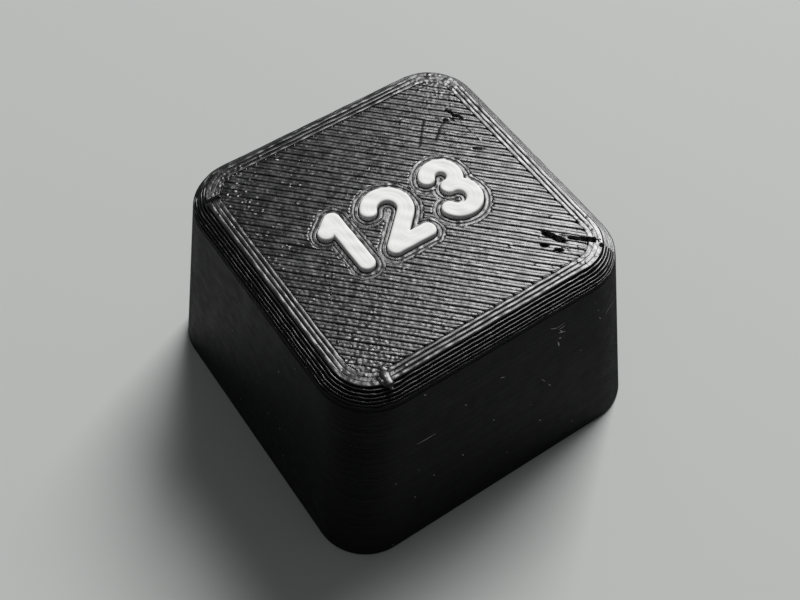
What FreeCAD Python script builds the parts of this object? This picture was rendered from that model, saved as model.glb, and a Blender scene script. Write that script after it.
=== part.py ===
"""A one-unit keycap: a hollow tapered shell with a cross-socket stem, and a legend let into its top.

Millimetres. The origin is the centre of the open base, +Z is up through the top, and +X is the way
the legend reads. The legend is a solid of its own, because it is of a second colour.
"""
import FreeCAD, Part
import math
import os

# Outer shell
base_width = 18.0
top_width = 15.3            # across the walls, where their slope would reach the top plane
height = 11.85
corner_radius = 2.6         # rounding between neighbouring walls
rim_radius = 1.2            # rounding between walls and top

# Hollow underside
wall = 1.5
top_thickness = 2.0
least_inner_corner = 0.3    # tightest rounding between neighbouring inner walls

# Stem and cross socket
stem_diameter = 5.5
stem_recess = 0.8           # how far the stem ends above the base
stem_root_chamfer = 0.5     # between the stem and the roof of the hollow
socket_length = 4.1         # tip to tip of each slot of the cross
socket_width = 1.3
socket_depth = 4.2
socket_lead_in = 0.2        # chamfer round the mouth of the cross

# Legend
legend_height = 3.7         # over the strokes
legend_stroke = 0.82
legend_space = 0.75         # clear space between digits
legend_depth = 0.4          # how deep the inlay is let into the top
legend_proud = 0.25         # how far it stands above the top
legend_clearance = 0.03     # between the inlay and the side of its pocket
flag_run = 0.62             # the flag of the 1, along and down from the top of its stem
flag_drop = 0.5
two_bowl_radius = 0.86      # bowls are measured to the middle of the stroke
three_lower_radius = 0.77
bowl_end_angle = 155.0      # where the strokes of the bowls end, in degrees from +X

Vector = FreeCAD.Vector
UP = Vector(0, 0, 1)
centre_height = legend_height - legend_stroke
roof = height - top_thickness
stem_radius = stem_diameter / 2


def wall_square(z, inset):
    """The corners of the square that the walls make at height z, a given distance in from their outside."""
    half = (base_width + (top_width - base_width) * z / height) / 2 - inset
    return [Vector(x * half, y * half, z) for x, y in ((-1, -1), (1, -1), (1, 1), (-1, 1))]


def flat_face(corners):
    """The flat face inside a ring of corners."""
    return Part.Face(Part.makePolygon(corners + corners[:1]))


def tapered_block(inset, top, corner):
    """The solid inside the sloping walls, from the base to a flat top, with its upright edges rounded."""
    low = wall_square(0, inset)
    high = wall_square(top, inset)
    faces = [flat_face(low[::-1]), flat_face(high)]
    for left, right in ((0, 1), (1, 2), (2, 3), (3, 0)):
        faces.append(flat_face([low[left], low[right], high[right], high[left]]))
    block = Part.Solid(Part.Shell(faces))
    upright = [edge for edge in block.Edges if edge.BoundBox.ZLength > top / 2]
    return block.makeFillet(corner, upright)


def edges_at(shape, z, reach):
    """The edges that lie flat at height z, within a square of the given half-width round the axis."""
    tolerance = 1e-4
    found = []
    for edge in shape.Edges:
        box = edge.BoundBox
        flat = abs(box.ZMin - z) < tolerance and abs(box.ZMax - z) < tolerance
        inside = max(abs(box.XMin), abs(box.XMax), abs(box.YMin), abs(box.YMax)) < reach + tolerance
        if flat and inside:
            found.append(edge)
    return found


def shell():
    """The tapered outside with its rim rounded, hollowed from below."""
    outside = tapered_block(0, height, corner_radius)
    outside = outside.makeFillet(rim_radius, edges_at(outside, height, base_width))
    return outside.cut(tapered_block(wall, roof, max(corner_radius - wall, least_inner_corner)))


def cross_socket():
    """Two crossed slots that run up into the stem from its lower end."""
    slots = []
    for length, width in ((socket_length, socket_width), (socket_width, socket_length)):
        corner = Vector(-length / 2, -width / 2, stem_recess)
        slots.append(Part.makeBox(length, width, socket_depth, corner))
    return slots[0].fuse(slots[1]).removeSplitter()


def stem():
    """The round stem, from its lower end up into the top, with the socket cut in and its mouth eased."""
    length = roof + top_thickness / 2 - stem_recess
    post = Part.makeCylinder(stem_radius, length, Vector(0, 0, stem_recess), UP)
    post = post.cut(cross_socket())
    mouth = edges_at(post, stem_recess, socket_length / 2)
    return post.makeChamfer(socket_lead_in, mouth)


def arc(centre, radius, start, end):
    """An arc about a point, level, from one angle to another in degrees."""
    points = []
    for angle in (start, (start + end) / 2, end):
        bearing = math.radians(angle)
        points.append(centre + Vector(radius * math.cos(bearing), radius * math.sin(bearing), 0))
    return Part.Arc(*points).toShape()


def line(start, end):
    """A straight edge between two points."""
    return Part.LineSegment(start, end).toShape()


def digit_one():
    """The middle line of a 1: a short flag up to the head of a straight stem."""
    head = Vector(flag_run, centre_height, 0)
    flag = line(Vector(0, centre_height - flag_drop, 0), head)
    return [Part.Wire([flag, line(head, Vector(flag_run, 0, 0))])]


def digit_two():
    """The middle line of a 2: a bowl, its tangent down to the foot, and the foot."""
    bowl = Vector(two_bowl_radius, centre_height - two_bowl_radius, 0)
    foot = Vector(0, 0, 0)
    to_foot = math.atan2(-bowl.y, -bowl.x)
    touch = math.degrees(to_foot + math.acos(two_bowl_radius / bowl.Length))
    curve = arc(bowl, two_bowl_radius, bowl_end_angle, touch)
    slope = line(curve.Vertexes[-1].Point, foot)
    return [Part.Wire([curve, slope, line(foot, Vector(2 * two_bowl_radius, 0, 0))])]


def digit_three():
    """The middle lines of a 3: an upper and a lower bowl that meet at the waist."""
    upper_radius = centre_height / 2 - three_lower_radius
    middle = max(upper_radius, three_lower_radius)
    upper = arc(Vector(middle, centre_height - upper_radius, 0), upper_radius, bowl_end_angle, -90)
    lower = arc(Vector(middle, three_lower_radius, 0), three_lower_radius, 90, -bowl_end_angle)
    return [Part.Wire([upper]), Part.Wire([lower])]


def digit_solid(paths, width, bottom, top):
    """A digit's strokes, all of one width with round ends, between two heights."""
    strokes = []
    for path in paths:
        face = path.makeOffset2D(width / 2, fill=True)
        face.translate(Vector(0, 0, bottom))
        strokes.append(face.extrude(Vector(0, 0, top - bottom)))
    solid = strokes[0]
    for stroke in strokes[1:]:
        solid = solid.fuse(stroke)
    return solid.removeSplitter()


def legend(grow, bottom, top):
    """The digits in a row, centred on the top, with every stroke widened by the same amount all round."""
    digits = []
    along = 0.0
    for paths in (digit_one(), digit_two(), digit_three()):
        plain = digit_solid(paths, legend_stroke, 0, legend_height).BoundBox
        digit = digit_solid(paths, legend_stroke + 2 * grow, bottom, top)
        digit.translate(Vector(along - plain.XMin, 0, 0))
        digits.append(digit)
        along += plain.XLength + legend_space
    row_width = along - legend_space
    for digit in digits:
        digit.translate(Vector(-row_width / 2, -centre_height / 2, 0))
    return digits


def make_legend_inlay():
    """The second-colour digits, seated on the floors of their pockets."""
    digits = legend(0, height - legend_depth, height + legend_proud)
    return Part.makeCompound([digit.Solids[0] for digit in digits])


def make_keycap():
    """The shell and its stem as one solid, with pockets in the top for the legend."""
    cap = shell().fuse(stem()).removeSplitter()
    root = [edge for edge in edges_at(cap, roof, stem_radius) if edge.Closed]
    cap = cap.makeChamfer(stem_root_chamfer, root)
    for pocket in legend(legend_clearance, height - legend_depth, height + legend_proud):
        cap = cap.cut(pocket)
    return cap.Solids[0]


os.makedirs("parts", exist_ok=True)
for node, shape in (("keycap", make_keycap()), ("legend_inlay", make_legend_inlay())):
    if not shape.isValid():
        raise RuntimeError(node + " is not a valid shape")
    print(node, "solids", len(shape.Solids), "volume", round(shape.Volume, 3), "box", shape.BoundBox)
    shape.exportStep("parts/" + node + ".step")
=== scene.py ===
"""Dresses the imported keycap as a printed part: beads on its top, stepped layers at its rim, a white legend.

Run as a script in Blender. Lengths are metres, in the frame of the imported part: the origin is the centre of
the open base, +Z is up through the top, and +X is the way the legend reads.
"""

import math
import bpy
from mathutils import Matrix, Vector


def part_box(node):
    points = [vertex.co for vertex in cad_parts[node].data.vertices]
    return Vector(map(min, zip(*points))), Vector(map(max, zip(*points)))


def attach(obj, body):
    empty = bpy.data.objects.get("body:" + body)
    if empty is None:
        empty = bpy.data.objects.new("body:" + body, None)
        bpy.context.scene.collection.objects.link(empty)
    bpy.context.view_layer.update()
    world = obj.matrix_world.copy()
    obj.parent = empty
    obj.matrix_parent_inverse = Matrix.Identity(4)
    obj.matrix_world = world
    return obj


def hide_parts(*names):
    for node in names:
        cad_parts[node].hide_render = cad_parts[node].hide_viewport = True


bl_info = {
    "name": "Printed keycap",
    "version": (1, 0, 0),
    "blender": (4, 5, 0),
    "location": "View3D > Sidebar > Keycap",
    "description": "Builds the visible pieces of a printed keycap round its packed solids",
    "category": "Object",
}

import bpy
import numpy as np
from bpy.props import FloatProperty, FloatVectorProperty, IntProperty, PointerProperty
from mathutils import Matrix

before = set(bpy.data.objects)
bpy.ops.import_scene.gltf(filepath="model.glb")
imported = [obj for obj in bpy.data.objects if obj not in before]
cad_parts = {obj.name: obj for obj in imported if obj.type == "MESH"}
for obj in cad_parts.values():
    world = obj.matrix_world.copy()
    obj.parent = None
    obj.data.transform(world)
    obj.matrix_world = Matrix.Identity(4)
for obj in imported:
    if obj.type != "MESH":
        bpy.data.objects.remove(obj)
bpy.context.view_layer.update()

MM = 0.001
ROOT = "root"
CAP_LOW, CAP_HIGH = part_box("keycap")
LEGEND_LOW, LEGEND_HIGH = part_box("legend_inlay")
DIAGONAL = math.sqrt(2)
CRISP = math.radians(30)        # edges sharper than this are left unsmoothed on the shell and the stem
SETBACK_POWER = 1.35            # how the setback of a rim layer falls with the height left above it
PICTURE_WIDTH = 800             # pixels
QUARTER_TURN = np.array([[0.0, 1.0], [-1.0, 0.0]])      # anticlockwise, for rows of x and y


# Settings

def length(name, description, default):
    """A length that a user can change, in metres."""
    return FloatProperty(name=name, description=description, default=default, min=0.0, precision=5,
                         unit="LENGTH")


def colour(name, description, default):
    """A linear colour that a user can change."""
    return FloatVectorProperty(name=name, description=description, default=default, size=3, subtype="COLOR",
                               min=0.0, max=1.0)


class KeycapSizes(bpy.types.PropertyGroup):
    """Outside and inside sizes of the cap, as its solids have them."""
    base_width: length("Base width", "Across the walls at the base", CAP_HIGH.x - CAP_LOW.x)
    top_width: length("Top width", "Across the walls where their slope would reach the top", 15.3 * MM)
    height: length("Height", "From the base to the top", CAP_HIGH.z)
    corner_radius: length("Corner radius", "Rounding between neighbouring walls", 2.6 * MM)
    wall: length("Wall", "Thickness of the walls", 1.5 * MM)
    top_thickness: length("Top thickness", "From the roof of the hollow to the top", 2.0 * MM)
    stem_diameter: length("Stem diameter", "Across the round stem", 5.5 * MM)
    stem_recess: length("Stem recess", "How far the stem ends above the base", 0.8 * MM)
    stem_chamfer: length("Stem chamfer", "Between the stem and the roof of the hollow", 0.5 * MM)
    socket_length: length("Socket length", "Tip to tip of each slot of the cross", 4.1 * MM)
    socket_width: length("Socket width", "Across each slot of the cross", 1.3 * MM)
    socket_depth: length("Socket depth", "How far the cross runs up the stem", 4.2 * MM)
    socket_lead_in: length("Socket lead-in", "Chamfer round the mouth of the cross", 0.2 * MM)


class PrintSettings(bpy.types.PropertyGroup):
    """How the printer laid the plastic."""
    layer: length("Layer", "Height of a printed layer", 0.12 * MM)
    loop_bead: length("Loop bead", "Width of a bead laid round the top or round a digit", 0.215 * MM)
    fill_bead: length("Fill bead", "Width of a bead that fills the top", 0.187 * MM)
    loops: IntProperty(name="Loops", description="Beads laid round the top before it is filled",
                       default=3, min=1)
    surround: IntProperty(name="Surround", description="Beads laid round each digit",
                          default=2, min=1)
    loop_groove: length("Loop groove", "Depth of the line between two loops", 0.034 * MM)
    fill_groove: length("Fill groove", "Depth of the line between two beads of the fill", 0.055 * MM)
    pair_shift: length("Pair shift", "How far two joined beads lean towards each other", 0.007 * MM)
    bed: length("Bed", "How deep the beads of the top go", 0.4 * MM)
    wall_ripple: length("Wall ripple", "Depth of the line between two layers of a wall", 0.002 * MM)
    rim_depth: length("Rim depth", "How far down the layers of the rim draw in", 0.78 * MM)
    rim_setback: length("Rim setback", "How far the top layer draws in from the slope of the walls",
                        0.67 * MM)
    legend_round: length("Legend rounding", "Rounding of the upper edges of the legend", 0.11 * MM)


class FinishSettings(bpy.types.PropertyGroup):
    """Colours of the plastics and of the floor."""
    cap: colour("Cap plastic", "Black printed plastic", (0.0065, 0.0065, 0.0068))
    legend: colour("Legend plastic", "White printed plastic", (0.86, 0.86, 0.85))
    dust: colour("Dust", "Pale specks and hairs that cling to the plastic", (0.42, 0.42, 0.39))
    floor: colour("Floor", "Plain pale floor", (0.52, 0.53, 0.52))


class StageSettings(bpy.types.PropertyGroup):
    """Camera and lamps."""
    azimuth: FloatProperty(name="Azimuth", description="Bearing that the camera stands at",
                           default=math.radians(-34.596), subtype="ANGLE")
    elevation: FloatProperty(name="Elevation", description="How steeply the camera looks down",
                             default=math.radians(55.343), subtype="ANGLE")
    roll: FloatProperty(name="Roll", description="Turn of the picture",
                        default=math.radians(0.495), subtype="ANGLE")
    place: FloatVectorProperty(name="Camera place", description="Where the camera stands",
                               default=(-20.051 * MM, -28.996 * MM, 56.033 * MM), unit="LENGTH", precision=5)
    focal_pixels: FloatProperty(name="Focal length", description="In pixels of a picture 800 wide",
                                default=1236.05)
    key_power: FloatProperty(name="Key power", default=10.8,
                             description="Large soft lamp behind and to the right, in watts")
    fill_strength: FloatProperty(name="Fill", description="Even light from all round", default=0.13)


def sizes():
    """The cap's sizes."""
    return bpy.context.scene.keycap_sizes


def printing():
    """The printer's settings."""
    return bpy.context.scene.keycap_print


# Meshes

def grid_quads(rows, columns, close_rows=False, close_columns=False):
    """Corner numbers of the quads of a grid of points, joined end to end where it closes."""
    index = np.arange(rows * columns).reshape(rows, columns)
    if close_rows:
        index = np.vstack([index, index[:1]])
    if close_columns:
        index = np.hstack([index, index[:, :1]])
    quads = np.stack([index[:-1, :-1], index[:-1, 1:], index[1:, 1:], index[1:, :-1]], axis=-1)
    return quads.reshape(-1, 4)


def fan(centre, ring):
    """Triangles from a centre point to each pair of neighbours of a closed ring of point numbers."""
    return np.stack([np.full(len(ring), centre), ring, np.roll(ring, -1)], axis=-1)


def closed_rings(rings, first_middle, last_middle):
    """Rings of points, one row a ring, joined in order and closed by fans from a middle point of the first
    and of the last."""
    rows, around = rings.shape[:2]
    count = rows * around
    ring = np.arange(around)
    ends = np.vstack([fan(count, ring[::-1]), fan(count + 1, ring + count - around)])
    points = np.vstack([rings.reshape(-1, 3), first_middle, last_middle])
    return points, grid_quads(rows, around, close_columns=True), ends


def signed_volume(points, triangles):
    """Six times the volume inside a closed set of triangles, positive where they face outwards."""
    a, b, c = (points[triangles[:, k]] for k in range(3))
    return float(np.sum(a * np.cross(b, c)))


def add_piece(name, points, quads, triangles, finishes, kinds=None):
    """A closed mesh that stands where its points are, faces outwards and rides on the cap. Kinds gives each
    quad the number of its finish, where there is more than one."""
    points = np.asarray(points, float).reshape(-1, 3)
    triangles = np.zeros((0, 3), int) if triangles is None else triangles
    halves = np.vstack([quads[:, [0, 1, 2]], quads[:, [0, 2, 3]], triangles])
    if signed_volume(points, halves) < 0:
        quads = quads[:, ::-1]
        triangles = triangles[:, ::-1]
    corners = np.concatenate([quads.ravel(), triangles.ravel()])
    starts = np.concatenate([4 * np.arange(len(quads)), quads.size + 3 * np.arange(len(triangles))])
    mesh = bpy.data.meshes.new(name)
    mesh.vertices.add(len(points))
    mesh.vertices.foreach_set("co", points.astype(np.float32).ravel())
    mesh.loops.add(len(corners))
    mesh.loops.foreach_set("vertex_index", corners.astype(np.int32))
    mesh.polygons.add(len(starts))
    mesh.polygons.foreach_set("loop_start", starts.astype(np.int32))
    mesh.polygons.foreach_set("use_smooth", np.ones(len(starts), bool))
    mesh.update(calc_edges=True)
    if mesh.validate():
        raise RuntimeError(name + " has faces that Blender had to mend")
    for finish in finishes:
        mesh.materials.append(bpy.data.materials[finish])
    if kinds is not None:
        mesh.polygons.foreach_set("material_index", kinds.astype(np.int32))
    piece = bpy.data.objects.new(name, mesh)
    bpy.context.scene.collection.objects.link(piece)
    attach(piece, ROOT)
    return piece


# Shapes

def unevenness(x, y, wavelength, seed):
    """A gentle random swell over a plane: a dozen sine waves of about one length, in seeded directions."""
    waves = 12
    source = np.random.default_rng(seed)
    total = np.zeros(np.broadcast(x, y).shape)
    for bearing, phase, stretch in source.uniform((0, 0, 0.7), (math.tau, math.tau, 1.5), (waves, 3)):
        along = x * math.cos(bearing) + y * math.sin(bearing)
        total += np.sin(math.tau * along / (wavelength * stretch) + phase)
    return total / math.sqrt(waves / 2)


def mottle(x, y, cell, seed):
    """A random roughness over a plane: seeded values from -1 to 1 at the corners of square cells, with a
    smooth blend of the four corners inside each cell."""
    tile = 128
    values = np.random.default_rng(seed).uniform(-1, 1, (tile, tile))
    column, row = np.floor(x / cell), np.floor(y / cell)
    across, up = x / cell - column, y / cell - row
    across, up = across ** 2 * (3 - 2 * across), up ** 2 * (3 - 2 * up)
    left, low = column.astype(int) % tile, row.astype(int) % tile
    right, high = (left + 1) % tile, (low + 1) % tile
    below = values[left, low] * (1 - across) + values[right, low] * across
    above = values[left, high] * (1 - across) + values[right, high] * across
    return below * (1 - up) + above * up


def four_sides(points):
    """Level points, and then the same after one, two and three quarter turns about the middle."""
    return np.vstack([points @ np.linalg.matrix_power(QUARTER_TURN, turns) for turns in range(4)])


def square_ring(side_steps, corner_steps):
    """Once round a rounded square: for each point, its corner's centre as a multiple of half the straight
    side, and the direction that it faces. A point is then (half - radius) * centre + radius * direction."""
    turn = np.linspace(0, math.pi / 2, corner_steps, endpoint=False)
    run = np.linspace(1, -1, side_steps, endpoint=False)
    centres = np.vstack([np.ones((corner_steps, 2)), np.column_stack([run, np.ones(side_steps)])])
    facing = np.vstack([np.column_stack([np.cos(turn), np.sin(turn)]), np.tile((0.0, 1.0), (side_steps, 1))])
    return four_sides(centres), four_sides(facing)


def ring_points(half, radius, z, ring):
    """Points of rounded squares, one row for each half-width, corner radius and height."""
    centres, facing = ring
    half, radius, z = np.broadcast_arrays(half, radius, z)
    flat = (half - radius)[..., None] * centres + radius[..., None] * facing
    return np.concatenate([flat, np.broadcast_to(z[..., None], flat[..., :1].shape)], axis=-1)


def wall_half(z):
    """Half the width across the sloping walls at height z."""
    size = sizes()
    return (size.base_width + (size.top_width - size.base_width) * z / size.height) / 2


def layer_half(depth):
    """Half the width of the layer whose middle is a given depth below the top: the wall's slope, less a
    setback that falls with a power of the height left in the rim."""
    size, laid = sizes(), printing()
    left = np.clip(1 - depth / laid.rim_depth, 0, None)
    return wall_half(size.height - depth) - laid.rim_setback * left ** SETBACK_POWER


def layer_radius(half):
    """Corner radius of a layer: the walls' own, less what the layer has drawn in at the rim."""
    size, laid = sizes(), printing()
    return size.corner_radius - np.clip(wall_half(size.height - laid.rim_depth) - half, 0, None)


def rim_layers():
    """How many layers the rim has, with the top one."""
    return round(printing().rim_depth / printing().layer)


def top_half():
    """Half the width of the top layer."""
    return float(layer_half(np.array(printing().layer / 2)))


def rim_foot():
    """Height at which the layers begin to draw in."""
    return sizes().height - printing().layer * (rim_layers() + 1)


def wall_profile():
    """The outside of the walls from the base up: each layer swells between the lines above and below it."""
    laid = printing()
    count = int(rim_foot() / laid.layer)
    low = rim_foot() - laid.layer * np.arange(count, 0, -1)
    low[0] = 0.0
    high = np.append(low[1:], rim_foot())
    layer_error = 0.0005 * MM
    uneven = layer_error * np.random.default_rng(11).standard_normal(count)
    share = np.array([0.0, 0.3, 0.7])
    dip = np.array([1.0, 0.1, 0.1])
    half = (wall_half((low + high) / 2) + uneven)[:, None] - laid.wall_ripple * dip
    z = low[:, None] + (high - low)[:, None] * share
    return half.ravel(), z.ravel()


def rim_profile():
    """The layers of the rim from its foot up, below the top layer: half-widths and heights, one row a layer.
    A layer has an outer edge that rounds over on to the part of its upper side that the next one leaves bare,
    and that part falls to a line under the next layer."""
    size, laid = sizes(), printing()
    step = np.arange(rim_layers(), 0, -1)[:, None]
    edge_in = np.array([0.036, 0.010, 0.0, 0.003, 0.010, 0.022, 0.036]) * MM
    edge_up = np.array([-0.4, 0.2, 0.45, 0.68, 0.86, 0.95, 0.98]) * laid.layer
    outer = layer_half((step + 0.5) * laid.layer)
    bare = outer - layer_half((step - 0.5) * laid.layer)
    tread_share, least_tread = 0.45, 0.048 * MM
    half = np.hstack([outer - edge_in, outer - np.maximum(tread_share * bare, least_tread)])
    z = size.height - (step + 1) * laid.layer + np.append(edge_up, laid.layer)
    return half, z


def shell_rings():
    """Half-widths, corner radii and heights of the shell's rings: from the middle of the hollow's roof down
    its inner walls, round the base, up the outer walls, and in under the rim and the beads of the top."""
    size, laid = sizes(), printing()
    roof = size.height - size.top_thickness
    inner_radius = size.corner_radius - size.wall
    z = np.linspace(roof, 0, 2 * int(roof / laid.layer / 2), endpoint=False)
    inside = wall_half(z) - size.wall + laid.wall_ripple * (np.arange(len(z)) % 2)
    ease, under_rim, least_radius, core = 0.06 * MM, 0.05 * MM, 0.3 * MM, 4.0 * MM
    base_half = np.array([wall_half(0) - size.wall + ease, wall_half(0) - ease])
    wall_out, wall_up = wall_profile()
    bed_floor = size.height - 1.2 * laid.bed
    under = np.array([wall_half(rim_foot()) - under_rim, 6.0 * MM, core])
    under_z = np.array([rim_foot(), bed_floor, bed_floor])
    outer = np.concatenate([wall_out, under])
    half = np.concatenate([[core], inside, base_half, outer])
    inner_radii = np.full(len(inside) + 2, inner_radius)
    radius = np.concatenate([inner_radii, [size.corner_radius], layer_radius(outer)])
    height = np.concatenate([[roof], z, [0.0, 0.0], np.maximum(wall_up, ease), under_z])
    return half, np.maximum(radius, least_radius), height


# Half of a bead's section: how far out as a share of its width, and how far down as a share of its groove
LOOP_SHOULDER = np.array([[0.20, 0.0], [0.36, 0.19], [0.43, 0.47], [0.5, 1.0]])
FILL_SHOULDER = np.array([[0.35, 0.0], [0.425, 0.09], [0.47, 0.46], [0.5, 1.0]])


def bead_section(width, groove, shoulder, outer=False):
    """Cross-section of a laid bead, sideways and up from its crest: flat in the middle, then falling by a
    shoulder to a groove at each side. The outermost bead rounds over its outer side instead."""
    laid = printing()
    side = np.concatenate([-shoulder[::-1, 0], [0.0], shoulder[:, 0]])
    drop = groove * np.concatenate([shoulder[::-1, 1], [0.0], shoulder[:, 1]])
    foot = np.array([[0.5, -laid.bed], [-0.5, -laid.bed]])
    if outer:
        past_crest = len(shoulder) + 1
        side[past_crest:] = (0.24, 0.36, 0.45, 0.5)
        drop[past_crest:] = np.array([0.0, 0.006, 0.026, 0.06]) * MM
        foot = np.array([[0.38, -1.2 * laid.layer], [0.1, -laid.bed], [-0.5, -laid.bed]])
    section = np.vstack([np.column_stack([side, -drop]), foot])
    return section * (width, 1.0)


def fill_half():
    """Half the width of the part of the top inside the loops of beads."""
    laid = printing()
    return top_half() - laid.loops * laid.loop_bead


def fill_reach(across):
    """How far the fill runs each way from the middle of a line parallel to the diagonal: to the straight
    sides of a rounded square, or to the arcs of its corners."""
    radius = float(layer_radius(np.array(top_half()))) - printing().loops * printing().loop_bead
    across = np.abs(across)
    centre = DIAGONAL * (fill_half() - radius)
    at_ends = centre + np.sqrt(np.clip(radius ** 2 - across ** 2, 0, None))
    at_sides = np.sqrt(np.clip(radius ** 2 - (across - centre) ** 2, 0, None))
    reach = np.where(across < radius / DIAGONAL, at_ends, DIAGONAL * fill_half() - across)
    return np.where(across > centre + radius / DIAGONAL, at_sides, reach)


# Places where the print tore or crossed itself, in millimetres: two ends of a line, half its width, its depth
TORN_PLACES = (
    ((4.79, -4.47), (5.16, -5.24), 0.12, 0.42),
    ((5.56, -5.32), (5.82, -5.54), 0.06, 0.36),
    ((6.02, -5.70), (6.36, -5.99), 0.11, 0.42),
    ((4.30, -4.96), (4.38, -5.04), 0.10, 0.42),
    ((4.64, -5.52), (4.78, -5.64), 0.08, 0.42),
    ((6.47, -6.42), (6.52, -6.46), 0.08, 0.42),
    ((5.43, 4.19), (5.55, 3.92), 0.06, 0.16),
    ((5.55, 3.92), (5.54, 3.71), 0.05, 0.16),
    ((5.54, 3.71), (5.79, 3.48), 0.05, 0.16),
    ((5.79, 3.48), (5.71, 3.30), 0.04, 0.10),
    ((4.98, 3.71), (5.36, 3.49), 0.06, 0.12),
    ((5.11, 1.46), (5.54, 1.13), 0.05, 0.05),
)

# Cracks across the beads, in millimetres: two ends of a line, and how far the top drops on the left of it
CRACKS = (
    ((2.99, 2.84), (4.30, 4.34), 0.018),
    ((3.86, 2.76), (4.59, 3.41), 0.020),
    ((4.59, 3.41), (4.98, 3.56), 0.020),
    ((2.63, 4.00), (3.26, 4.93), 0.013),
    ((3.02, 3.84), (3.41, 4.41), 0.013),
)


def tear_depth(x, y):
    """How far the torn places lower the top at each point: by the full depth near the middle of each line,
    fading to nothing at its edges."""
    steepness = 1.6
    depth = np.zeros(np.broadcast(x, y).shape)
    for start, end, half_width, deep in TORN_PLACES:
        (ax, ay), (bx, by) = np.array(start) * MM, np.array(end) * MM
        share = ((x - ax) * (bx - ax) + (y - ay) * (by - ay)) / ((bx - ax) ** 2 + (by - ay) ** 2)
        share = np.clip(share, 0, 1)
        away = np.hypot(x - ax - share * (bx - ax), y - ay - share * (by - ay))
        fade = np.clip(steepness - steepness * away / (half_width * MM), 0, 1)
        depth = np.maximum(depth, deep * MM * fade)
    return depth


def crack_depth(x, y):
    """How far the cracks lower the top at each point: a steep step down on the left of each line, from which
    the top climbs back slowly. The step fades out over the last tenth of the line at each end."""
    steep, slow = 0.05 * MM, 1.1 * MM
    depth = np.zeros(np.broadcast(x, y).shape)
    for start, end, deep in CRACKS:
        (ax, ay), (bx, by) = np.array(start) * MM, np.array(end) * MM
        run = math.hypot(bx - ax, by - ay)
        share = ((x - ax) * (bx - ax) + (y - ay) * (by - ay)) / run ** 2
        to_left = ((y - ay) * (bx - ax) - (x - ax) * (by - ay)) / run
        ends = np.clip(10 * np.minimum(share, 1 - share), 0, 1)
        across = np.minimum(np.clip(to_left / steep, 0, 1), np.clip(1 - (to_left - steep) / slow, 0, 1))
        depth = np.maximum(depth, deep * MM * ends * across)
    return depth


def legend_segments():
    """The outline of the legend as straight segments: edges that only one triangle of its underside has."""
    grid = 1e-4 * MM
    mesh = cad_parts["legend_inlay"].data
    points = np.zeros(3 * len(mesh.vertices), np.float32)
    mesh.vertices.foreach_get("co", points)
    points = points.reshape(-1, 3).astype(float)
    corners = np.zeros(3 * len(mesh.polygons), np.int32)
    mesh.polygons.foreach_get("vertices", corners)
    merged, number = np.unique(np.round(points / grid).astype(np.int64), axis=0, return_inverse=True)
    triangles = number.ravel()[corners.reshape(-1, 3)]
    height = merged[:, 2] * grid
    under = triangles[np.all(height[triangles] < LEGEND_LOW.z + 0.01 * MM, axis=1)]
    edges = np.sort(np.vstack([under[:, [0, 1]], under[:, [1, 2]], under[:, [2, 0]]]), axis=1)
    edges, uses = np.unique(edges, axis=0, return_counts=True)
    return merged[edges[uses == 1]][:, :, :2] * grid


def legend_distance(x, y, segments):
    """Distance from each point to the legend's outline, negative inside a digit. A point is inside where a
    line drawn from it crosses the outline an odd number of times."""
    block_size = 4000
    places = np.column_stack([np.ravel(x), np.ravel(y)])
    start, end = segments[:, 0], segments[:, 1]
    run = end - start
    squared = np.sum(run ** 2, axis=1)
    rise = np.where(run[:, 1] == 0, 1.0, run[:, 1])
    result = []
    for block in np.array_split(places, len(places) // block_size + 1):
        offset = block[:, None] - start
        share = np.clip(np.sum(offset * run, axis=2) / squared, 0, 1)
        away = np.min(np.linalg.norm(offset - share[..., None] * run, axis=2), axis=1)
        straddles = (start[:, 1] > block[:, 1:2]) != (end[:, 1] > block[:, 1:2])
        crossing = start[:, 0] + offset[..., 1] * run[:, 0] / rise
        inside = np.sum(straddles & (block[:, 0:1] < crossing), axis=1) % 2 == 1
        result.append(np.where(inside, -away, away))
    return np.concatenate(result).reshape(np.shape(x))


def corner_share(x, y):
    """How near a point of the top is to one of its corners: 1 at the corner, 0 from 2.4 mm away."""
    corner, reach = 6.3 * MM, 2.4 * MM
    away = np.hypot(corner - np.abs(x), corner - np.abs(y))
    return np.clip(1 - away / reach, 0, 1)


def fill_ends(number, lean, side, reach):
    """Where the beads of the fill start and stop: a little beyond the outline of the fill, furthest on the
    left, and rounded off on the side away from the neighbour that a bead is joined to there."""
    bead = printing().fill_bead
    least, roundness, fullness = 0.02 * MM, 1.3, 0.97
    low_beyond = np.where(number < 0, 0.08, 0.05) * MM
    high_beyond = 0.045 * MM
    ends = []
    for joined, beyond in ((-lean, low_beyond), (lean, high_beyond)):
        apart = np.clip((1 - 2 * joined * side / bead) / 2, 0, 1)
        ends.append(reach + beyond - roundness * bead * (1 - np.sqrt(1 - (fullness * apart) ** 2)))
    return -np.clip(ends[0], least, None), np.clip(ends[1], least, None)


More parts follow.
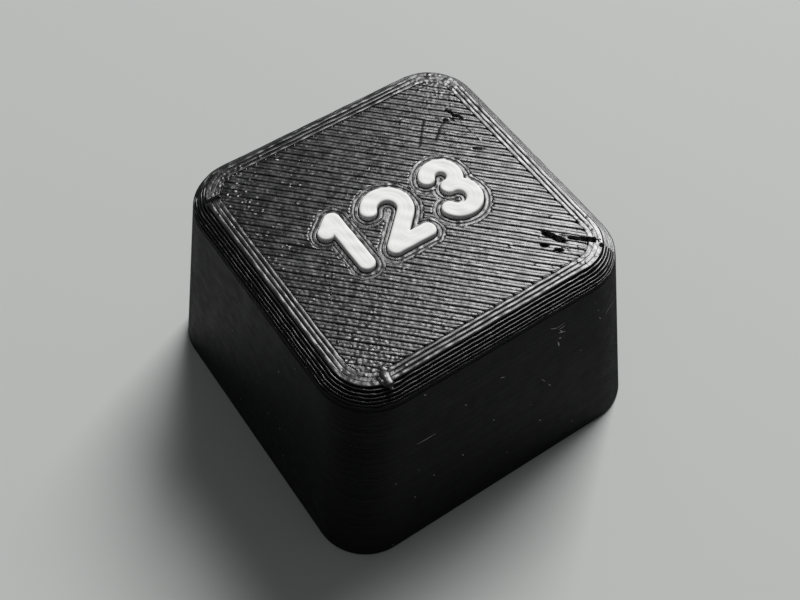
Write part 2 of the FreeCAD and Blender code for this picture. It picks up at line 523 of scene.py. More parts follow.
def fill_relief(x, y, along, to_end, number, segments):
    """How far the crowns of the fill stand above or below the top: each bead laid a little high or low,
    waves, a mottle that grows towards the left and the corners, a drop at the ends, the tears and cracks, and
    a drop under the beads that surround the legend."""
    laid = printing()
    bead_error, wave, end_drop, end_run, sunk = 0.003 * MM, 0.002 * MM, 0.03 * MM, 0.12 * MM, 0.24 * MM
    laid_high = np.random.default_rng(23).standard_normal(512)[number]
    raised = bead_error * laid_high + wave * unevenness(along, 5.0 * number * laid.fill_bead, 1.0 * MM, 22)
    left = np.clip(0.5 - x / (12 * MM), 0, 1)
    coarse = 0.0015 + 0.008 * corner_share(x, y) + 0.0045 * left
    raised = raised + MM * coarse * mottle(x, y, 0.12 * MM, 24)
    raised = raised - end_drop * np.clip(1 - to_end / end_run, 0, 1) ** 2
    raised = raised - tear_depth(x, y) - crack_depth(x, y)
    margin = 1.0 * MM
    close = (np.abs(x) < LEGEND_HIGH.x + margin) & (np.abs(y) < LEGEND_HIGH.y + margin)
    clear = np.ones(x.shape)
    clear[close] = legend_distance(x[close], y[close], segments) - (laid.surround - 0.4) * laid.loop_bead
    return raised - sunk * np.clip(0.3 - clear / (0.06 * MM), 0, 1)


def fill_points(numbers, segments):
    """Numbered beads of the fill, laid side by side along the diagonal and joined in pairs at their ends. For
    each bead, place along it and point of its section: the section carried from the bead's start to its stop,
    with its crown raised by the relief and its groove shallower inside a pair and at the corners."""
    size, laid = sizes(), printing()
    steps = 240
    sway, sway_wave = 0.007 * MM, 1.7 * MM
    inside_pair, between_pairs, filled = 0.5, 1.35, 0.5
    number = numbers[:, None, None]
    section = bead_section(laid.fill_bead, laid.fill_groove, FILL_SHOULDER)
    side, up = section[:, 0], section[:, 1]
    lean = np.where(number % 2 == 0, 1.0, -1.0)
    across = (number + 0.5) * laid.fill_bead + lean * laid.pair_shift + side
    low, high = fill_ends(number, lean, side, fill_reach(across))
    along = low + (high - low) * np.linspace(0, 1, steps)[None, :, None]
    across = across + sway * unevenness(along, 3.0 * number * laid.fill_bead, sway_wave, 21)
    x, y = (along + across) / DIAGONAL, (across - along) / DIAGONAL
    to_end = np.minimum(along - low, high - along)
    raised = fill_relief(x, y, along, to_end, number, segments)
    crown = up > -0.5 * laid.bed
    within = np.where(side * lean > 0, inside_pair, between_pairs)
    worn = 1 - filled * corner_share(x, y)
    z = size.height + np.where(crown, up * within * worn + raised, up)
    lowest = size.height - laid.bed - 0.02 * MM
    return np.stack([x, y, np.maximum(z, lowest)], axis=-1)


def bead_quads(beads, steps, points):
    """Quads round and along a row of closed beads, and the triangles that close their ends."""
    tube = grid_quads(steps, points, close_columns=True)
    offsets = np.arange(beads)[:, None, None] * steps * points
    quads = (tube[None] + offsets).reshape(-1, 4)
    cap = np.array([(points - 1, k, k + 1) for k in range(points - 2)])
    first = cap[None] + offsets
    last = cap[None, :, ::-1] + (steps - 1) * points + offsets
    return quads, np.vstack([first.reshape(-1, 3), last.reshape(-1, 3)])


def height_field(x, y, z, keep, bottom):
    """A closed block from a grid of heights: the kept quads, a flat copy below, and walls round the edge."""
    quads = grid_quads(*x.shape)
    quads = quads[np.all(keep.ravel()[quads], axis=1)]
    used, quads = np.unique(quads, return_inverse=True)
    quads = quads.reshape(-1, 4)
    top = np.column_stack([x.ravel()[used], y.ravel()[used], z.ravel()[used]])
    under = np.column_stack([top[:, :2], np.full(len(top), bottom)])
    edges = np.vstack([quads[:, [k, (k + 1) % 4]] for k in range(4)])
    _, first, uses = np.unique(np.sort(edges, axis=1), axis=0, return_index=True, return_counts=True)
    rim = edges[first[uses == 1]]
    count = len(top)
    walls = np.column_stack([rim[:, 1], rim[:, 0], rim[:, 0] + count, rim[:, 1] + count])
    return np.vstack([top, under]), np.vstack([quads, quads[:, ::-1] + count, walls])


def legend_grid(margin, step):
    """A fine level grid that covers the legend and a margin round it."""
    x = np.arange(LEGEND_LOW.x - margin, LEGEND_HIGH.x + margin, step)
    y = np.arange(LEGEND_LOW.y - margin, LEGEND_HIGH.y + margin, step)
    return np.meshgrid(x, y, indexing="ij")


def drawn_to_edge(x, y, distance, step):
    """Grid points outside the legend's outline, moved on to it along the slope of the distance."""
    least_slope = 0.3
    slope_x, slope_y = np.gradient(distance, step)
    steep = np.clip(np.hypot(slope_x, slope_y), least_slope, None)
    past = np.clip(distance, 0, None)
    return x - past * slope_x / steep ** 2, y - past * slope_y / steep ** 2


# Materials

def new_group(name, inputs, outputs):
    """A shader node group with float inputs and outputs, and the sockets of both as they are inside it."""
    group = bpy.data.node_groups.new(name, "ShaderNodeTree")
    for label, default in inputs.items():
        socket = group.interface.new_socket(label, in_out="INPUT", socket_type="NodeSocketFloat")
        socket.default_value = default
    for label in outputs:
        group.interface.new_socket(label, in_out="OUTPUT", socket_type="NodeSocketFloat")
    return group, group.nodes.new("NodeGroupInput").outputs, group.nodes.new("NodeGroupOutput").inputs


def add_node(tree, kind, inputs, **settings):
    """A node with its settings, whose named or numbered inputs hold values or are linked to sockets."""
    node = tree.nodes.new(kind)
    for label, value in settings.items():
        setattr(node, label, value)
    for label, value in inputs.items():
        if isinstance(value, bpy.types.NodeSocket):
            tree.links.new(value, node.inputs[label])
        else:
            node.inputs[label].default_value = value
    return node


def math_node(tree, operation, first, second=0.0, clamp=False):
    """The result of a math node whose inputs are sockets or numbers."""
    inputs = {0: first, 1: second}
    return add_node(tree, "ShaderNodeMath", inputs, operation=operation, use_clamp=clamp).outputs[0]


def blend(tree, share, first, second):
    """A mix of two colours, each a socket or a value, by a share."""
    return add_node(tree, "ShaderNodeMix", {0: share, 6: first, 7: second}, data_type="RGBA").outputs[2]


def shade_of(tint, share):
    """A tint made darker or lighter, as an opaque colour."""
    return (*(share * part for part in tint), 1.0)


def own_place(tree):
    """A point's place in the frame of its piece."""
    return tree.nodes.new("ShaderNodeTexCoord").outputs["Object"]


def scattered_cells(tree, place, scale):
    """Cells scattered through space: distance to the middle of the nearest, and its three random values."""
    cells = add_node(tree, "ShaderNodeTexVoronoi", {"Vector": place, "Scale": scale})
    pick = add_node(tree, "ShaderNodeSeparateColor", {0: cells.outputs["Color"]})
    return cells.outputs["Distance"], pick.outputs


def print_grain_group():
    """Grain of laid plastic: fine pits over a coarser mottle, as a height, and the mottle as a tone."""
    group, given, result = new_group("Print grain", {"Pit Scale": 9000.0, "Mottle Scale": 1500.0},
                                     ["Height", "Tone"])
    place = own_place(group)
    pits = add_node(group, "ShaderNodeTexNoise",
                    {"Vector": place, "Scale": given["Pit Scale"], "Detail": 2.0, "Roughness": 0.6})
    patches = add_node(group, "ShaderNodeTexNoise",
                       {"Vector": place, "Scale": given["Mottle Scale"], "Detail": 3.0})
    coarse = math_node(group, "MULTIPLY", patches.outputs[0], 0.5)
    group.links.new(math_node(group, "ADD", pits.outputs[0], coarse), result["Height"])
    group.links.new(patches.outputs[0], result["Tone"])


def dust_group():
    """Dust: small round specks scattered one to a cell, in only some of the cells, as a mask."""
    group, given, result = new_group("Dust specks", {"Cells": 900.0, "Size": 0.09, "Share": 0.1}, ["Mask"])
    distance, pick = scattered_cells(group, own_place(group), given["Cells"])
    chosen = math_node(group, "LESS_THAN", pick[0], given["Share"])
    size = math_node(group, "MULTIPLY", given["Size"], pick[1])
    near = math_node(group, "LESS_THAN", distance, size)
    group.links.new(math_node(group, "MULTIPLY", chosen, near), result["Mask"])


def pimple_group():
    """Pimples of stray plastic as a height: cones of several sizes and slopes scattered one to a cell, in
    only some of the cells. They gather in drifts, towards the left of the top and round its corners."""
    group, given, result = new_group("Pimples", {"Cells": 3600.0, "Size": 0.4, "Share": 0.1, "Corner": 0.4},
                                     ["Height"])
    corner, corner_reach, across = 6.2 * MM, 3.1 * MM, 12.0 * MM
    place = own_place(group)
    split = add_node(group, "ShaderNodeSeparateXYZ", {0: place}).outputs
    squares = []
    for axis in (0, 1):
        gap = math_node(group, "SUBTRACT", corner, math_node(group, "ABSOLUTE", split[axis]))
        share_of_reach = math_node(group, "DIVIDE", gap, corner_reach)
        squares.append(math_node(group, "MULTIPLY", share_of_reach, share_of_reach))
    away = math_node(group, "SQRT", math_node(group, "ADD", *squares))
    nearness = math_node(group, "SUBTRACT", 1.0, away, clamp=True)
    drift = add_node(group, "ShaderNodeTexNoise", {"Vector": place, "Scale": 900.0, "Detail": 1.0})
    thick = math_node(group, "SUBTRACT", drift.outputs[0], 0.42)
    thick = math_node(group, "MULTIPLY", thick, 5.0, clamp=True)
    left = math_node(group, "DIVIDE", split[0], across)
    left = math_node(group, "SUBTRACT", 0.5, left, clamp=True)
    general = math_node(group, "MULTIPLY", math_node(group, "MULTIPLY", thick, left), given["Share"])
    share = math_node(group, "ADD", general, math_node(group, "MULTIPLY", nearness, given["Corner"]))
    distance, pick = scattered_cells(group, place, given["Cells"])
    chosen = math_node(group, "LESS_THAN", pick[0], share)
    size = math_node(group, "MULTIPLY", given["Size"], math_node(group, "ADD", pick[1], 0.4))
    cone = math_node(group, "MAXIMUM", math_node(group, "SUBTRACT", size, distance), 0.0)
    steep = math_node(group, "MULTIPLY", math_node(group, "ADD", pick[2], 0.25), 0.8)
    raised = math_node(group, "MULTIPLY", cone, steep)
    group.links.new(math_node(group, "MULTIPLY", chosen, raised), result["Height"])


def layer_group():
    """A seeded tone for each printed layer: one random value from 0 to 1 for each step of height."""
    group, given, result = new_group("Layer tone", {"Layer": 0.12 * MM}, ["Tone"])
    split = add_node(group, "ShaderNodeSeparateXYZ", {0: own_place(group)}).outputs
    count = math_node(group, "FLOOR", math_node(group, "DIVIDE", split[2], given["Layer"]))
    pick = add_node(group, "ShaderNodeTexWhiteNoise", {"W": count}, noise_dimensions="1D")
    group.links.new(pick.outputs["Value"], result["Tone"])


def place_group(tree, name, values):
    """The outputs of a group placed in a material, with its own values."""
    return add_node(tree, "ShaderNodeGroup", values, node_tree=bpy.data.node_groups[name]).outputs


def plastic(name, tint, roughness, grain_depth, pit_scale, specular, dust=None, pimples=None, layered=False):
    """Printed plastic: one tint with a faint mottle, roughness that follows the mottle, and fine grain. Dust
    and pimples are the values of their groups, where there are any. Layered gives each layer its own tone."""
    spread, dust_roughness, pimple_height = 0.07, 0.85, 0.05 * MM
    material = bpy.data.materials.new(name)
    material.use_nodes = True
    tree = material.node_tree
    shader = tree.nodes["Principled BSDF"]
    shader.inputs["Specular IOR Level"].default_value = specular
    grain = place_group(tree, "Print grain", {"Pit Scale": pit_scale, "Mottle Scale": 1500.0})
    relief = {"Strength": 1.0, "Distance": grain_depth, "Height": grain["Height"]}
    if pimples is not None:
        domes = place_group(tree, "Pimples", pimples)
        below = {"Strength": 1.0, "Distance": pimple_height, "Height": domes["Height"]}
        relief["Normal"] = add_node(tree, "ShaderNodeBump", below).outputs["Normal"]
    bump = add_node(tree, "ShaderNodeBump", relief)
    gloss = {"Value": grain["Tone"], "From Min": 0.3, "From Max": 0.7,
             "To Min": roughness - spread, "To Max": roughness + spread}
    rough = add_node(tree, "ShaderNodeMapRange", gloss).outputs[0]
    tone = blend(tree, grain["Tone"], shade_of(tint, 0.82), shade_of(tint, 1.0))
    if layered:
        layers = place_group(tree, "Layer tone", {"Layer": printing().layer})
        tone = blend(tree, layers["Tone"], tone, shade_of(tint, 1.6))
    if dust is not None:
        specks = place_group(tree, "Dust specks", dust)["Mask"]
        tone = blend(tree, specks, tone, shade_of(bpy.context.scene.keycap_finish.dust, 1.0))
        rough = math_node(tree, "MAXIMUM", rough, math_node(tree, "MULTIPLY", specks, dust_roughness))
    tree.links.new(bump.outputs["Normal"], shader.inputs["Normal"])
    tree.links.new(tone, shader.inputs["Base Color"])
    tree.links.new(rough, shader.inputs["Roughness"])


# Operators

class KEYCAP_OT_finishes(bpy.types.Operator):
    """Make the plastics that the pieces share"""
    bl_idname = "keycap.finishes"
    bl_label = "Plastics"

    def execute(self, context):
        finish = context.scene.keycap_finish
        print_grain_group()
        dust_group()
        pimple_group()
        layer_group()
        loop_pimples = {"Cells": 3600.0, "Size": 0.36, "Share": 0.0, "Corner": 0.9}
        top_pimples = {**loop_pimples, "Share": 0.55}
        plastic("wall_plastic", finish.cap, roughness=0.36, grain_depth=0.0008 * MM, pit_scale=6000.0,
                specular=0.035, dust={"Cells": 700.0, "Size": 0.05, "Share": 0.02}, layered=True)
        plastic("rim_plastic", finish.cap, roughness=0.28, grain_depth=0.0025 * MM, pit_scale=6500.0,
                specular=0.62)
        plastic("loop_plastic", finish.cap, roughness=0.28, grain_depth=0.002 * MM, pit_scale=6500.0,
                specular=0.66, pimples=loop_pimples)
        plastic("top_plastic", finish.cap, roughness=0.28, grain_depth=0.0028 * MM, pit_scale=6500.0,
                specular=0.62, pimples=top_pimples)
        plastic("legend_plastic", finish.legend, roughness=0.5, grain_depth=0.0020 * MM, pit_scale=7000.0,
                specular=0.5)
        plastic("fleck_dust", finish.dust, roughness=0.8, grain_depth=0.0020 * MM, pit_scale=9000.0,
                specular=0.2)
        return {"FINISHED"}


class KEYCAP_OT_shell(bpy.types.Operator):
    """Build the hollow shell with the layers of its walls"""
    bl_idname = "keycap.shell"
    bl_label = "Shell"

    def execute(self, context):
        half, radius, z = shell_rings()
        rings = ring_points(half[:, None], radius[:, None], z[:, None], square_ring(30, 20))
        points, quads, ends = closed_rings(rings, (0.0, 0.0, z[0]), (0.0, 0.0, z[-1]))
        shell = add_piece("shell", points, quads, ends, ["wall_plastic"])
        shell.data.set_sharp_from_angle(angle=CRISP)
        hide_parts("keycap")
        return {"FINISHED"}


class KEYCAP_OT_rim(bpy.types.Operator):
    """Lay the layers that draw in round the rim"""
    bl_idname = "keycap.rim"
    bl_label = "Rim"

    def execute(self, context):
        size, laid = sizes(), printing()
        half, z = rim_profile()
        layers, places = half.shape
        inner = np.array([[top_half() - 0.05 * MM, size.height - 1.25 * laid.layer],
                          [top_half() - 0.15 * MM, size.height - laid.bed],
                          [wall_half(rim_foot()) - 0.4 * MM, rim_foot() - 0.1 * MM]])
        hidden = np.zeros(len(inner), int)
        layer = np.append(np.repeat(np.arange(layers), places), hidden)[:, None]
        place = np.append(np.tile(np.arange(places), layers), hidden)[:, None]
        half = np.concatenate([half.ravel(), inner[:, 0]])
        z = np.concatenate([z.ravel(), inner[:, 1]])
        ring = square_ring(100, 32)
        to_right = ring[1][:, 0]
        points = ring_points(half[:, None], layer_radius(half)[:, None], z[:, None], ring)
        x, y = points[..., 0], points[..., 1]
        # Each layer reads its own part of the mottle
        sway = 0.004 * unevenness(x, y, 1.1 * MM, 12) + 0.010 * mottle(x + 7.3 * MM * layer, y, 0.4 * MM, 13)
        points[..., :2] += (MM * sway)[..., None] * ring[1]
        points[..., 2] += 0.003 * MM * mottle(x, y + 7.3 * MM * layer, 0.3 * MM, 14)
        calm = 1 - 0.85 * np.clip(to_right, 0, 1)
        broken = 0.010 * MM * (1 + 3 * corner_share(x, y)) * calm * (place == places - 1)
        points[..., 2] += broken * mottle(x, y + 5.1 * MM * layer, 0.25 * MM, 15)
        # The upper side of a layer is glossy, and on the right its rounded edge and the line inside it too
        faces_right = to_right > 0.75
        glossy = np.where(faces_right, np.isin(place, (4, 5, 6, 7)), np.isin(place, (5, 6))).ravel()
        quads = grid_quads(len(points), points.shape[1], close_rows=True, close_columns=True)
        add_piece("rim", points, quads, None, ["wall_plastic", "rim_plastic"], glossy)
        return {"FINISHED"}


class KEYCAP_OT_top_loops(bpy.types.Operator):
    """Lay the beads that run round the top"""
    bl_idname = "keycap.top_loops"
    bl_label = "Top loops"

    def execute(self, context):
        size, laid = sizes(), printing()
        ring = square_ring(160, 48)
        around = len(ring[0])
        to_right = np.clip(ring[1][:, 0], 0, 1)
        seam_y, seam_width, seam_depth, seam_from = 5.61 * MM, 0.07 * MM, 0.2 * MM, -5.5 * MM
        sideways, lift, worn_lift = 0.005 * MM, 0.004 * MM, 0.008 * MM
        points, quads = [], []
        for loop in range(laid.loops):
            section = bead_section(laid.loop_bead, laid.loop_groove, LOOP_SHOULDER, loop == 0)
            half = top_half() - (loop + 0.5) * laid.loop_bead + section[:, 0]
            radius = layer_radius(half)
            flat = ring_points(half[:, None], radius[:, None], size.height + section[:, 1:2], ring)
            crown = (section[:, 1] > -0.9 * laid.layer)[:, None]
            x, y = flat[..., 0], flat[..., 1]
            sway = sideways * unevenness(x, y, 2.0 * MM, 31 + loop)
            raised = lift * unevenness(x, y, 0.7 * MM, 41 + loop)
            worn = np.clip(1.7 * corner_share(x, y), 0, 1)
            raised = raised + worn_lift * worn * mottle(x, y, 0.13 * MM, 45)
            filled = np.maximum(0.92 * worn, 0.45 * to_right)
            raised = raised - filled * np.clip(section[:, 1:2], -laid.loop_groove, 0)
            cut = seam_depth * np.exp(-((y - seam_y) / seam_width) ** 2) * (x < seam_from)
            flat[..., :2] += sway[..., None] * ring[1]
            flat[..., 2] += np.where(crown, raised - cut - 0.6 * tear_depth(x, y), 0.0)
            offset = sum(len(part) for part in points)
            points.append(flat.reshape(-1, 3))
            quads.append(grid_quads(len(section), around, close_rows=True, close_columns=True) + offset)
        add_piece("top_loops", np.vstack(points), np.vstack(quads), None, ["loop_plastic"])
        return {"FINISHED"}


class KEYCAP_OT_top_fill(bpy.types.Operator):
    """Lay the slanting beads that fill the top"""
    bl_idname = "keycap.top_fill"
    bl_label = "Top fill"

    def execute(self, context):
        pitch = printing().fill_bead
        places = np.arange(pitch / 2, DIAGONAL * fill_half(), pitch)
        shortest = 0.15 * MM
        count = int(np.sum(fill_reach(places) > shortest))
        segments = legend_segments()
        names = ("top_fill_near_end", "top_fill_near", "top_fill_far", "top_fill_far_end")
        for name, numbers in zip(names, np.array_split(np.arange(-count, count), 4)):
            points = fill_points(numbers, segments)
            quads, triangles = bead_quads(*points.shape[:3])
            add_piece(name, points, quads, triangles, ["top_plastic"])
        return {"FINISHED"}


class KEYCAP_OT_legend(bpy.types.Operator):
    """Build the white legend and the beads laid round it"""
    bl_idname = "keycap.legend"
    bl_label = "Legend"

    def execute(self, context):
        rounding = printing().legend_round
        segments = legend_segments()
        margin, step = 0.7 * MM, 0.02 * MM
        x, y = legend_grid(margin, step)
        distance = legend_distance(x, y, segments)
        self.surround(x, y, distance)
        inside = np.clip(-distance, 0, rounding)
        fall = rounding - np.sqrt(rounding ** 2 - (rounding - inside) ** 2)
        strand_high, strand_wide, sunk, swell = 0.002 * MM, 0.2 * MM, 0.03 * MM, 0.006 * MM
        strand = strand_high * np.cos(math.tau * distance / strand_wide)
        z = LEGEND_HIGH.z - sunk - fall + strand + swell * unevenness(x, y, 0.8 * MM, 51)
        keep = distance < 0.7 * step
        edge_x, edge_y = drawn_to_edge(x, y, distance, step)
        points, quads = height_field(edge_x, edge_y, z, keep, LEGEND_LOW.z)
        legend = add_piece("legend", points, quads, None, ["legend_plastic"])
        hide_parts("legend_inlay")
        return {"FINISHED"}

    def surround(self, x, y, distance):
        """Beads at even distances from the outline, each a crown between two grooves."""
        size, laid = sizes(), printing()
        gap, groove = 0.03 * MM, 0.04 * MM
        share = (distance - gap) / laid.loop_bead
        crown = 2 * (share - np.floor(share)) - 1
        raised = MM * (0.008 * mottle(x, y, 0.2 * MM, 61) + 0.005 * mottle(x, y, 0.45 * MM, 62) - 0.005)
        z = size.height - groove * np.abs(crown) ** 8 + raised
        keep = (distance > gap) & (distance < gap + laid.surround * laid.loop_bead)
        points, quads = height_field(x, y, z, keep, size.height - laid.bed)
        add_piece("legend_surround", points, quads, None, ["top_plastic"])


class KEYCAP_OT_stem(bpy.types.Operator):
    """Build the round stem with its cross socket"""
    bl_idname = "keycap.stem"
    bl_label = "Stem"

    def execute(self, context):
        size, laid = sizes(), printing()
        roof = size.height - size.top_thickness
        mouth = self.cross(size.socket_lead_in)
        socket = self.cross(0.0)
        bearing = np.arctan2(socket[:, 1], socket[:, 0])
        circle = np.column_stack([np.cos(bearing), np.sin(bearing)])
        radius = size.stem_diameter / 2
        ease, overlap = 0.08 * MM, 0.05 * MM
        socket_end = size.stem_recess + size.socket_depth
        count = int((roof - size.stem_chamfer - size.stem_recess) / laid.layer)
        z = np.linspace(roof - size.stem_chamfer, size.stem_recess + ease, 2 * count)
        ripple = np.tile((0.0, -laid.wall_ripple), count)
        levels = [(circle * (radius + size.stem_chamfer), roof + overlap)]
        levels += [(circle * (radius + dip), level) for dip, level in zip(ripple, z)]
        levels += [(circle * (radius - ease), size.stem_recess), (mouth, size.stem_recess),
                   (socket, size.stem_recess + size.socket_lead_in), (socket, socket_end)]
        rings = np.stack([np.column_stack([flat, np.full(len(flat), level)]) for flat, level in levels])
        points, quads, ends = closed_rings(rings, (0.0, 0.0, roof + overlap), (0.0, 0.0, socket_end))
        stem = add_piece("stem", points, quads, ends, ["wall_plastic"])
        stem.data.set_sharp_from_angle(angle=CRISP)
        return {"FINISHED"}

    def cross(self, grow):
        """Once round a cross of two slots, anticlockwise, each of its twelve edges in even steps."""
        size = sizes()
        far, near = size.socket_length / 2 + grow, size.socket_width / 2 + grow
        arm = np.array([[far, -near], [far, near], [near, near]])
        corners = four_sides(arm)
        share = np.linspace(0, 1, 8, endpoint=False)[None, :, None]
        following = np.roll(corners, -1, axis=0)
        return (corners[:, None] + share * (following - corners)[:, None]).reshape(-1, 2)


class KEYCAP_OT_stray(bpy.types.Operator):
    """Add the lumps and flakes of stray plastic that the nozzle left on the top"""
    bl_idname = "keycap.stray"
    bl_label = "Stray plastic"

    # Middle across and up the top, bearing in degrees, half the length and width, and height, in millimetres
    lumps = (
        (-5.40, -6.78, -98, 0.46, 0.25, 0.038), (-5.62, -6.78, -80, 0.24, 0.18, 0.015),
        (-5.27, -6.34, -60, 0.22, 0.14, 0.025), (-5.52, -6.98, -75, 0.16, 0.13, 0.02),
        (5.42, -5.02, -42, 0.26, 0.06, 0.03), (6.18, -5.62, -41, 0.28, 0.06, 0.03),
        (6.56, -6.06, -52, 0.17, 0.07, 0.03), (5.02, -5.62, -44, 0.20, 0.06, 0.03),
        (-6.06, 6.16, 40, 0.14, 0.10, 0.018), (-5.62, 5.79, 10, 0.13, 0.11, 0.018),
        (-5.70, 6.50, 65, 0.12, 0.09, 0.016), (-6.01, 5.50, 20, 0.11, 0.09, 0.018),
        (-5.22, 5.20, 55, 0.11, 0.09, 0.016), (-5.33, 5.85, -20, 0.10, 0.08, 0.016),
        (-5.67, 4.75, 30, 0.12, 0.10, 0.018), (-5.40, 4.56, 75, 0.12, 0.10, 0.018),
        (-5.57, 4.34, 15, 0.10, 0.08, 0.016), (-5.66, 5.17, 50, 0.10, 0.08, 0.016),
        (-5.25, 6.38, -35, 0.11, 0.08, 0.016), (-6.38, 5.87, 60, 0.10, 0.08, 0.016),
        (-5.85, -3.86, 30, 0.12, 0.09, 0.035), (-6.11, -4.17, 80, 0.11, 0.09, 0.035),
        (-4.77, -1.43, 60, 0.09, 0.06, 0.03), (-4.88, -1.66, 75, 0.08, 0.05, 0.025),
        (-5.03, -1.92, 60, 0.09, 0.06, 0.03), (-5.19, -2.18, 50, 0.08, 0.05, 0.025),
        (6.10, 5.90, 30, 0.14, 0.09, 0.015), (5.70, 6.20, 70, 0.12, 0.08, 0.015),
        (5.66, 2.18, -84, 0.60, 0.05, 0.02), (6.30, 6.30, -45, 0.16, 0.08, 0.015),
    )

    def execute(self, context):
        lump = np.array(self.lumps)[:, :, None, None]
        tip, spread = 0.04, 1.15
        down = np.linspace(tip, math.pi - tip, 13)[None, :, None]
        turn = np.linspace(0, math.tau, 18, endpoint=False)[None, None, :]
        length, width, high = lump[:, 3], lump[:, 4], lump[:, 5]
        uneven = 1 + 0.10 * unevenness(7 * down + 11 * lump[:, 0], 3 * np.sin(turn) + lump[:, 1], 5.0, 71)
        along = spread * length * np.cos(down) * uneven
        side = spread * width * np.sin(down) * np.cos(turn) * uneven
        bearing = np.radians(lump[:, 2])
        x = lump[:, 0] + along * np.cos(bearing) - side * np.sin(bearing)
        y = lump[:, 1] + along * np.sin(bearing) + side * np.cos(bearing)
        z = sizes().height / MM + high * (2 * np.sin(down) * np.sin(turn) * uneven - 1)
        points = np.stack(np.broadcast_arrays(x, y, z), axis=-1) * MM
        quads, triangles = bead_quads(*points.shape[:3])
        add_piece("stray_plastic", points, quads, triangles, ["top_plastic"])
        return {"FINISHED"}


class KEYCAP_OT_flecks(bpy.types.Operator):
    """Scatter the specks and hairs on the walls"""
    bl_idname = "keycap.flecks"
    bl_label = "Flecks"

    # On the front wall: ends along the wall and up, then half the width, in millimetres
    on_front = (
        (-4.75, 7.38, -3.62, 7.33, 0.024), (2.66, 10.04, 3.13, 9.76, 0.024),
        (3.14, 9.61, 3.59, 9.63, 0.030), (3.02, 9.80, 3.52, 9.86, 0.022),
        (3.15, 9.39, 3.62, 9.18, 0.034), (3.26, 9.50, 3.40, 9.30, 0.036),
        (3.22, 8.98, 3.38, 8.86, 0.044), (3.17, 8.76, 3.28, 8.32, 0.038),
        (2.75, 11.37, 2.80, 11.33, 0.024), (-0.11, 8.62, 0.17, 8.47, 0.024),
        (2.28, 6.62, 2.55, 6.20, 0.012), (2.74, 5.85, 2.92, 5.55, 0.018),
        (-4.15, 10.66, -4.03, 10.56, 0.034), (-2.06, 8.16, -1.94, 8.08, 0.032),
        (-0.51, 5.66, -0.39, 5.58, 0.030), (2.28, 3.26, 2.40, 3.18, 0.030),
        (4.42, 1.35, 4.48, 1.29, 0.022), (-2.29, 4.40, -2.23, 4.22, 0.018),
        (-4.73, 5.31, -4.69, 5.27, 0.022), (-3.98, 4.17, -3.88, 4.09, 0.022),
        (-6.00, 5.33, -5.94, 5.27, 0.026), (-5.10, 3.32, -5.00, 3.24, 0.022),
        (5.25, 10.02, 5.29, 9.96, 0.020), (5.60, 8.72, 5.70, 8.52, 0.016),
        (5.48, 9.34, 5.55, 9.22, 0.018), (5.95, 8.62, 6.42, 9.36, 0.014),
        (4.60, 7.02, 4.66, 6.96, 0.022), (1.75, 5.02, 1.80, 4.97, 0.020),
        (0.30, 2.20, 0.36, 2.15, 0.018), (-6.54, 0.36, -6.50, 0.30, 0.026),
    )

    def execute(self, context):
        pieces = [self.slivers(np.array(self.on_front) * MM, 0)]
        count = 9
        source = np.random.default_rng(81)
        for quarter_turns in (1, 2, 3):
            along, up = source.uniform(-6, 6, count), source.uniform(1.0, 10.4, count)
            bearing, length = source.uniform(0, math.pi, count), 0.06 + 0.6 * source.uniform(0, 1, count) ** 5
            half_width = source.uniform(0.014, 0.028, count)
            far_along, far_up = along + length * np.cos(bearing), up + length * np.sin(bearing)
            ends = np.column_stack([along, up, far_along, far_up, half_width])
            pieces.append(self.slivers(ends * MM, quarter_turns))
        points = np.concatenate(pieces)
        quads, triangles = bead_quads(*points.shape[:3])
        add_piece("wall_flecks", points, quads, triangles, ["fleck_dust"])
        return {"FINISHED"}

    def slivers(self, ends, quarter_turns):
        """Thin slivers that lie on the front wall, or on the one that quarter turns bring it to: an oval
        carried from end to end, whose size follows half a sine wave, so that it tapers to both ends."""
        start = np.column_stack([ends[:, 0], -wall_half(ends[:, 1]), ends[:, 1]])
        end = np.column_stack([ends[:, 2], -wall_half(ends[:, 3]), ends[:, 3]])
        share = np.linspace(0.03, 0.97, 9)
        turn = np.linspace(0, math.tau, 8, endpoint=False)[None, :, None]
        outward = np.array([0.0, -1.0, 0.0])
        run = end - start
        sideways = np.cross(run, outward)
        sideways = sideways / np.linalg.norm(sideways, axis=1)[:, None]
        line = start[:, None] + share[None, :, None] * run[:, None]
        swell = np.sin(math.pi * share)[None, :, None, None] * ends[:, 4, None, None, None]
        oval = np.cos(turn) * sideways[:, None] + 0.5 * np.sin(turn) * outward
        points = line[:, :, None] + swell * oval[:, None]
        points[..., :2] = points[..., :2] @ np.linalg.matrix_power(QUARTER_TURN, quarter_turns)
        return points


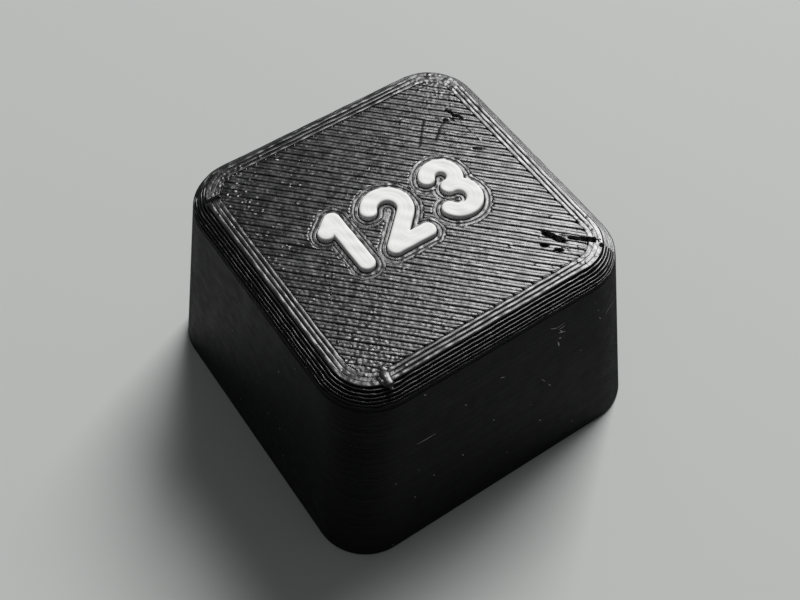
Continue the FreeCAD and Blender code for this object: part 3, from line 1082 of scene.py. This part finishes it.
class KEYCAP_OT_stage(bpy.types.Operator):
    """Set the floor, the lamps and the camera"""
    bl_idname = "keycap.stage"
    bl_label = "Stage"

    def execute(self, context):
        scene = context.scene
        self.floor(scene)
        self.lamps(scene)
        self.camera(scene)
        scene.view_settings.view_transform = "Standard"
        return {"FINISHED"}

    def floor(self, scene):
        """A wide level floor under the cap, plain and pale."""
        reach = 1.2
        mesh = bpy.data.meshes.new("floor")
        corners = [(-reach, -reach, 0), (reach, -reach, 0), (reach, reach, 0), (-reach, reach, 0)]
        mesh.from_pydata(corners, [], [(0, 1, 2, 3)])
        floor = bpy.data.objects.new("floor", mesh)
        scene.collection.objects.link(floor)
        material = bpy.data.materials.new("floor_paint")
        material.use_nodes = True
        shader = material.node_tree.nodes["Principled BSDF"]
        shader.inputs["Base Color"].default_value = (*scene.keycap_finish.floor, 1.0)
        shader.inputs["Roughness"].default_value = 0.75
        mesh.materials.append(material)

    def lamps(self, scene):
        """One large soft lamp behind and to the right, and even light from all round."""
        stage = scene.keycap_stage
        lamp = bpy.data.lights.new("key", "AREA")
        lamp.shape = "RECTANGLE"
        across, distance = 0.44, 1.0
        lamp.size = across
        lamp.size_y = across
        lamp.energy = stage.key_power
        key = bpy.data.objects.new("key", lamp)
        away = np.array([0.57, 0.34, 0.745])
        away = away / np.linalg.norm(away)
        key.matrix_world = facing_matrix(away, distance * away)
        scene.collection.objects.link(key)
        world = bpy.data.worlds.new("studio")
        world.use_nodes = True
        background = world.node_tree.nodes["Background"]
        background.inputs["Color"].default_value = (0.92, 0.95, 0.96, 1.0)
        background.inputs["Strength"].default_value = stage.fill_strength
        scene.world = world

    def camera(self, scene):
        """A camera at the photograph's place and angle."""
        stage = scene.keycap_stage
        lens = bpy.data.cameras.new("camera")
        lens.sensor_fit = "HORIZONTAL"
        lens.sensor_width = 36.0
        lens.lens = stage.focal_pixels / PICTURE_WIDTH * lens.sensor_width
        lens.clip_start = 0.001
        lens.clip_end = 20.0
        camera = bpy.data.objects.new("camera", lens)
        flat = math.cos(stage.elevation)
        sideways, away = math.sin(stage.azimuth) * flat, -math.cos(stage.azimuth) * flat
        back = np.array([sideways, away, math.sin(stage.elevation)])
        camera.matrix_world = facing_matrix(back, np.array(stage.place)) @ Matrix.Rotation(stage.roll, 4, "Z")
        scene.collection.objects.link(camera)
        scene.camera = camera


def facing_matrix(back, place):
    """Place and turn of a lamp or camera: its back faces a direction, and its sideways axis is level."""
    right = np.cross((0.0, 0.0, 1.0), back)
    right = right / np.linalg.norm(right)
    up = np.cross(back, right)
    matrix = np.eye(4)
    matrix[:3, 0], matrix[:3, 1], matrix[:3, 2], matrix[:3, 3] = right, up, back, place
    return Matrix(matrix.tolist())


class KEYCAP_PT_panel(bpy.types.Panel):
    """Lists the steps that build the keycap"""
    bl_idname = "KEYCAP_PT_panel"
    bl_label = "Printed keycap"
    bl_space_type = "VIEW_3D"
    bl_region_type = "UI"
    bl_category = "Keycap"

    def draw(self, context):
        for operator in OPERATORS:
            self.layout.operator(operator.bl_idname)


SETTINGS = {
    "keycap_sizes": KeycapSizes,
    "keycap_print": PrintSettings,
    "keycap_finish": FinishSettings,
    "keycap_stage": StageSettings,
}
OPERATORS = (
    KEYCAP_OT_finishes,
    KEYCAP_OT_shell,
    KEYCAP_OT_rim,
    KEYCAP_OT_top_loops,
    KEYCAP_OT_top_fill,
    KEYCAP_OT_legend,
    KEYCAP_OT_stem,
    KEYCAP_OT_stray,
    KEYCAP_OT_flecks,
    KEYCAP_OT_stage,
)


def register():
    """Registers the settings, operators and panel."""
    for name, group in SETTINGS.items():
        bpy.utils.register_class(group)
        setattr(bpy.types.Scene, name, PointerProperty(type=group))
    for kind in (*OPERATORS, KEYCAP_PT_panel):
        bpy.utils.register_class(kind)


def unregister():
    """Takes them away again."""
    for kind in (KEYCAP_PT_panel, *reversed(OPERATORS)):
        bpy.utils.unregister_class(kind)
    for name, group in reversed(SETTINGS.items()):
        delattr(bpy.types.Scene, name)
        bpy.utils.unregister_class(group)


def main():
    """Builds everything in order."""
    register()
    bpy.ops.keycap.finishes()
    bpy.ops.keycap.shell()
    bpy.ops.keycap.rim()
    bpy.ops.keycap.top_loops()
    bpy.ops.keycap.top_fill()
    bpy.ops.keycap.legend()
    bpy.ops.keycap.stem()
    bpy.ops.keycap.stray()
    bpy.ops.keycap.flecks()
    bpy.ops.keycap.stage()


if __name__ == "__main__":
    main()
